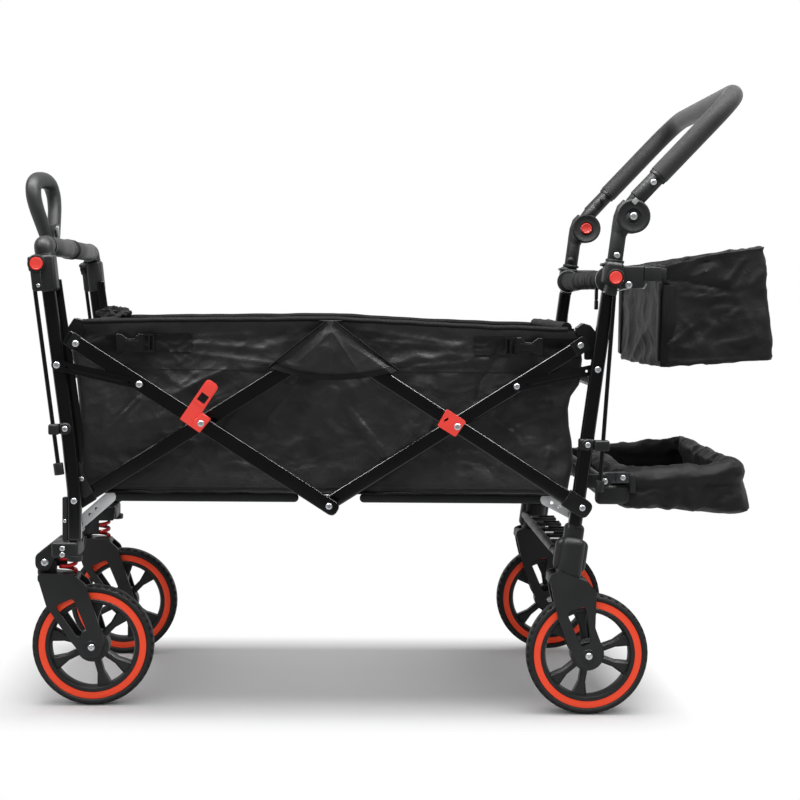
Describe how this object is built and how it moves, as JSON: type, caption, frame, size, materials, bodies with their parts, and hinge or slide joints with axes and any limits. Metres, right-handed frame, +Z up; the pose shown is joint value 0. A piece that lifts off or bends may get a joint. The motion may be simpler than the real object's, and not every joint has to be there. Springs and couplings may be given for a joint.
{
  "type": "folding hand-pulled wagon",
  "caption": "Folding fabric wagon on caster and fixed wheels, with a pull grip, a push handle, a rear bag and a foot tray.",
  "frame": {"origin": "on the ground, at the middle of the overall length and width", "axes": "+X to the rear, where the push handle is; +Y to the wagon's right; +Z up"},
  "size_m": [1.26, 0.6006, 1.035],
  "materials": {
    "black_steel": "satin powder coat",
    "black_plastic": "fine matt moulding",
    "red_plastic": "satin moulding",
    "red_steel": "gloss paint",
    "foam": "matt closed-cell foam",
    "tyre_rubber": "matt",
    "tub_fabric": "woven polyester",
    "board": "covered board"
  },
  "bodies": {
    "front_frame": {"front_frame_tube": "black_steel", "front_lock_housing_left": "black_plastic", "front_lock_housing_right": "black_plastic", "side_panel_left": "tub_fabric", "side_panel_right": "tub_fabric", "front_panel": "tub_fabric"},
    "bars_b": {"bar_b_left": "black_steel", "bar_b_right": "black_steel"},
    "bars_a": {"bar_a_left": "black_steel", "bar_a_right": "black_steel"},
    "bars_d": {"bar_d_left": "black_steel", "bar_d_right": "black_steel"},
    "bars_c": {"bar_c_left": "black_steel", "bar_c_right": "black_steel", "cross_clip_left": "red_plastic", "cross_clip_right": "red_plastic"},
    "rear_frame": {"rear_frame_tube": "black_steel", "rear_crossbar": "foam", "rear_lock_housing_left": "black_plastic", "rear_lock_housing_right": "black_plastic", "rear_fork_left": "black_plastic", "rear_fork_right": "black_plastic", "rear_panel": "tub_fabric", "rear_bag": "tub_fabric"},
    "floor_front": {"floor_front": "board"},
    "floor_rear": {"floor_rear": "board"},
    "front_links": {"front_link_left": "black_steel", "front_link_right": "black_steel"},
    "rear_links": {"rear_link_left": "black_steel", "rear_link_right": "black_steel"},
    "pull_frame": {"pull_frame": "black_plastic"},
    "pull_grip": {"pull_grip": "black_plastic"},
    "push_legs": {"push_leg_left": "black_plastic", "push_leg_right": "black_plastic"},
    "push_handle": {"push_handle": "black_plastic", "push_grip": "foam"},
    "brake_bar": {"brake_bar": "black_plastic"},
    "foot_tray": {"foot_tray": "tub_fabric"},
    "latch_left": {"latch_left": "red_plastic"},
    "front_button_left": {"front_button_left": "red_plastic"},
    "rear_button_left": {"rear_button_left": "red_plastic"},
    "hinge_button_left": {"hinge_button_left": "red_plastic"},
    "caster_left": {"caster_head_left": "black_plastic", "spring_left": "red_steel"},
    "caster_fork_left": {"front_fork_left": "black_plastic"},
    "front_wheel_left": {"front_tyre_left": "tyre_rubber", "front_rim_left": "black_plastic"},
    "rear_wheel_left": {"rear_tyre_left": "tyre_rubber", "rear_rim_left": "black_plastic"},
    "latch_right": {"latch_right": "red_plastic"},
    "front_button_right": {"front_button_right": "red_plastic"},
    "rear_button_right": {"rear_button_right": "red_plastic"},
    "hinge_button_right": {"hinge_button_right": "red_plastic"},
    "caster_right": {"caster_head_right": "black_plastic", "spring_right": "red_steel"},
    "caster_fork_right": {"front_fork_right": "black_plastic"},
    "front_wheel_right": {"front_tyre_right": "tyre_rubber", "front_rim_right": "black_plastic"},
    "rear_wheel_right": {"rear_tyre_right": "tyre_rubber", "rear_rim_right": "black_plastic"}
  },
  "joints": [
    {"name": "fold", "type": "hinge", "parent": "front_frame", "child": "bars_b", "pos_m": [-0.518, 0, 0.342], "axis": [0, -1, 0], "range_deg": [0, 44], "deforming": ["side_panel_left", "side_panel_right"]},
    {"name": "cross_front", "type": "hinge", "parent": "bars_b", "child": "bars_a", "pos_m": [-0.31286, 0, 0.47319], "axis": [0, -1, 0], "range_deg": [-88, 0]},
    {"name": "low_middle", "type": "hinge", "parent": "bars_a", "child": "bars_d", "pos_m": [-0.10773, 0, 0.342], "axis": [0, -1, 0], "range_deg": [0, 88]},
    {"name": "cross_rear", "type": "hinge", "parent": "bars_d", "child": "bars_c", "pos_m": [0.09741, 0, 0.47319], "axis": [0, -1, 0], "range_deg": [-88, 0]},
    {"name": "rear_pivot", "type": "hinge", "parent": "bars_c", "child": "rear_frame", "pos_m": [0.30255, 0, 0.342], "axis": [0, -1, 0], "range_deg": [0, 44]},
    {"name": "floor_front_hinge", "type": "hinge", "parent": "front_frame", "child": "floor_front", "pos_m": [-0.466, 0, 0.348], "axis": [0, -1, 0], "range_deg": [0, 89.4]},
    {"name": "floor_rear_hinge", "type": "hinge", "parent": "rear_frame", "child": "floor_rear", "pos_m": [0.25055, 0, 0.348], "axis": [0, -1, 0], "range_deg": [-89.4, 0]},
    {"name": "front_link_hinge", "type": "hinge", "parent": "front_frame", "child": "front_links", "pos_m": [-0.54787, 0, 0.566], "axis": [0, -1, 0], "range_deg": [0, 77.5]},
    {"name": "rear_link_hinge", "type": "hinge", "parent": "rear_frame", "child": "rear_links", "pos_m": [0.32585, 0, 0.566], "axis": [0, -1, 0], "range_deg": [-77.5, 0]},
    {"name": "pull_slide", "type": "slide", "parent": "front_frame", "child": "pull_frame", "axis": [-0.1298, 0, 0.9915], "range_m": [0, 0.044]},
    {"name": "pull_grip_hinge", "type": "hinge", "parent": "pull_frame", "child": "pull_grip", "pos_m": [-0.597, 0, 0.7565], "axis": [0, -1, 0], "range_deg": [0, 120]},
    {"name": "push_slide", "type": "slide", "parent": "rear_frame", "child": "push_legs", "axis": [0.0572, 0, 0.9984], "range_m": [0, 0.044]},
    {"name": "push_handle_hinge", "type": "hinge", "parent": "push_legs", "child": "push_handle", "pos_m": [0.3785, 0, 0.814], "axis": [0, -1, 0], "range_deg": [-45, 85]},
    {"name": "brake_hinge", "type": "hinge", "parent": "rear_frame", "child": "brake_bar", "pos_m": [0.268, 0, 0.262], "axis": [0, 1, 0], "range_deg": [0, 20]},
    {"name": "tray_hinge", "type": "hinge", "parent": "rear_frame", "child": "foot_tray", "pos_m": [0.342, 0, 0.383], "axis": [0, -1, 0], "range_deg": [0, 35]},
    {"name": "latch_left_hinge", "type": "hinge", "parent": "bars_a", "child": "latch_left", "pos_m": [-0.31286, -0.287, 0.47319], "axis": [0, -1, 0], "range_deg": [0, 30]},
    {"name": "front_button_left_slide", "type": "slide", "parent": "front_frame", "child": "front_button_left", "axis": [0, 1, 0], "range_m": [0, 0.0025], "stiffness_N_per_m": 300, "springref_m": -0.002},
    {"name": "rear_button_left_slide", "type": "slide", "parent": "rear_frame", "child": "rear_button_left", "axis": [0, 1, 0], "range_m": [0, 0.0025], "stiffness_N_per_m": 300, "springref_m": -0.002},
    {"name": "hinge_button_left_slide", "type": "slide", "parent": "push_handle", "child": "hinge_button_left", "axis": [0, -1, 0], "range_m": [0, 0.0025], "stiffness_N_per_m": 300, "springref_m": -0.002},
    {"name": "caster_left_swivel", "type": "hinge", "parent": "front_frame", "child": "caster_left", "pos_m": [-0.52033, -0.264, 0.28], "axis": [0, 0, 1], "continuous": true},
    {"name": "suspension_left", "type": "hinge", "parent": "caster_left", "child": "caster_fork_left", "pos_m": [-0.573, -0.205, 0.239], "axis": [0, -1, 0], "range_deg": [0, 8], "stiffness_Nm_per_rad": 70, "springref_deg": -4.01, "deforming": ["spring_left"]},
    {"name": "front_wheel_left_spin", "type": "hinge", "parent": "caster_fork_left", "child": "front_wheel_left", "pos_m": [-0.496, -0.205, 0.1], "axis": [0, -1, 0], "continuous": true},
    {"name": "rear_wheel_left_spin", "type": "hinge", "parent": "rear_frame", "child": "rear_wheel_left", "pos_m": [0.317, -0.262, 0.1], "axis": [0, -1, 0], "continuous": true},
    {"name": "latch_right_hinge", "type": "hinge", "parent": "bars_a", "child": "latch_right", "pos_m": [-0.31286, 0.287, 0.47319], "axis": [0, -1, 0], "range_deg": [0, 30]},
    {"name": "front_button_right_slide", "type": "slide", "parent": "front_frame", "child": "front_button_right", "axis": [0, -1, 0], "range_m": [0, 0.0025], "stiffness_N_per_m": 300, "springref_m": -0.002},
    {"name": "rear_button_right_slide", "type": "slide", "parent": "rear_frame", "child": "rear_button_right", "axis": [0, -1, 0], "range_m": [0, 0.0025], "stiffness_N_per_m": 300, "springref_m": -0.002},
    {"name": "hinge_button_right_slide", "type": "slide", "parent": "push_handle", "child": "hinge_button_right", "axis": [0, 1, 0], "range_m": [0, 0.0025], "stiffness_N_per_m": 300, "springref_m": -0.002},
    {"name": "caster_right_swivel", "type": "hinge", "parent": "front_frame", "child": "caster_right", "pos_m": [-0.52033, 0.264, 0.28], "axis": [0, 0, 1], "continuous": true},
    {"name": "suspension_right", "type": "hinge", "parent": "caster_right", "child": "caster_fork_right", "pos_m": [-0.573, 0.205, 0.239], "axis": [0, -1, 0], "range_deg": [0, 8], "stiffness_Nm_per_rad": 70, "springref_deg": -4.01, "deforming": ["spring_right"]},
    {"name": "front_wheel_right_spin", "type": "hinge", "parent": "caster_fork_right", "child": "front_wheel_right", "pos_m": [-0.496, 0.205, 0.1], "axis": [0, -1, 0], "continuous": true},
    {"name": "rear_wheel_right_spin", "type": "hinge", "parent": "rear_frame", "child": "rear_wheel_right", "pos_m": [0.317, 0.262, 0.1], "axis": [0, -1, 0], "continuous": true}
  ],
  "couplings": [
    {"joint": "cross_front", "follows": "fold", "ratio": -2},
    {"joint": "low_middle", "follows": "fold", "ratio": 2},
    {"joint": "cross_rear", "follows": "fold", "ratio": -2},
    {"joint": "rear_pivot", "follows": "fold", "ratio": 1},
    {"joint": "floor_front_hinge", "follows": "fold", "ratio": 2.03},
    {"joint": "floor_rear_hinge", "follows": "fold", "ratio": -2.03},
    {"joint": "front_link_hinge", "follows": "fold", "ratio": 1.76},
    {"joint": "rear_link_hinge", "follows": "fold", "ratio": -1.76}
  ]
}
